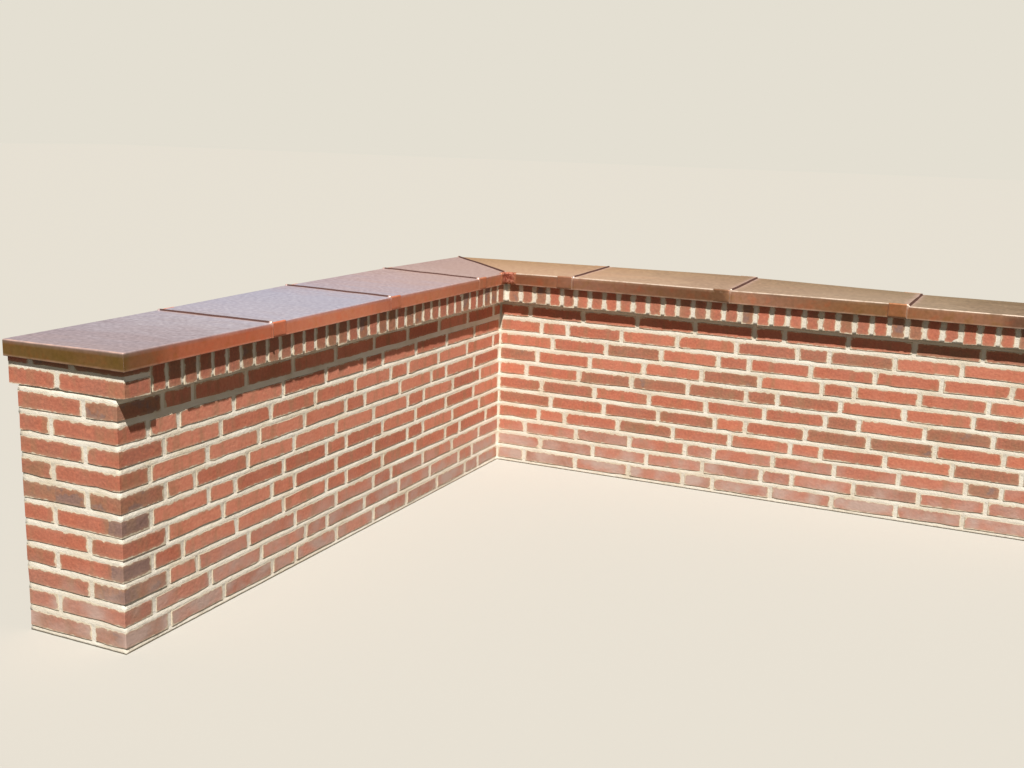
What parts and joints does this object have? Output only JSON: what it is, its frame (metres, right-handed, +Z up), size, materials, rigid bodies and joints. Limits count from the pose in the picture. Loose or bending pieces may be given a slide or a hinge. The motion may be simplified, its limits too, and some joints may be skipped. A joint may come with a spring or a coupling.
{
  "type": "garden wall",
  "caption": "L-shaped brick terrace wall with a corbelled band of bricks on edge and a coping of folded copper trays, mitred at the corner.",
  "frame": {"origin": "on the ground, at the middle of the box round the whole wall", "axes": "+X along the right leg, away from the corner; the left leg runs towards -Y; +Z up"},
  "size_m": [2.9244, 2.8546, 0.889],
  "materials": {
    "brick": "matt fired clay brick in cream mortar",
    "mortar": "matt lime cement mortar",
    "copper": "weathered copper sheet, brown to violet oxide",
    "solder": "mottled soldered copper patch"
  },
  "bodies": {
    "root": {"left_wall": "brick", "right_wall": "brick", "left_band_inner": "brick", "left_band_garden": "brick", "right_band_inner": "brick", "right_band_garden": "brick", "band_corner": "brick", "left_end_course_lower": "brick", "left_end_course_upper": "brick", "right_end_course_lower": "brick", "right_end_course_upper": "brick", "left_bedding": "mortar", "right_bedding": "mortar", "left_corner_tray": "copper", "right_corner_tray": "copper", "corner_patch": "solder", "left_tray_1": "copper", "left_tray_2": "copper", "left_end_tray": "copper", "right_tray_1": "copper", "right_tray_2": "copper", "right_end_tray": "copper"}
  },
  "joints": []
}
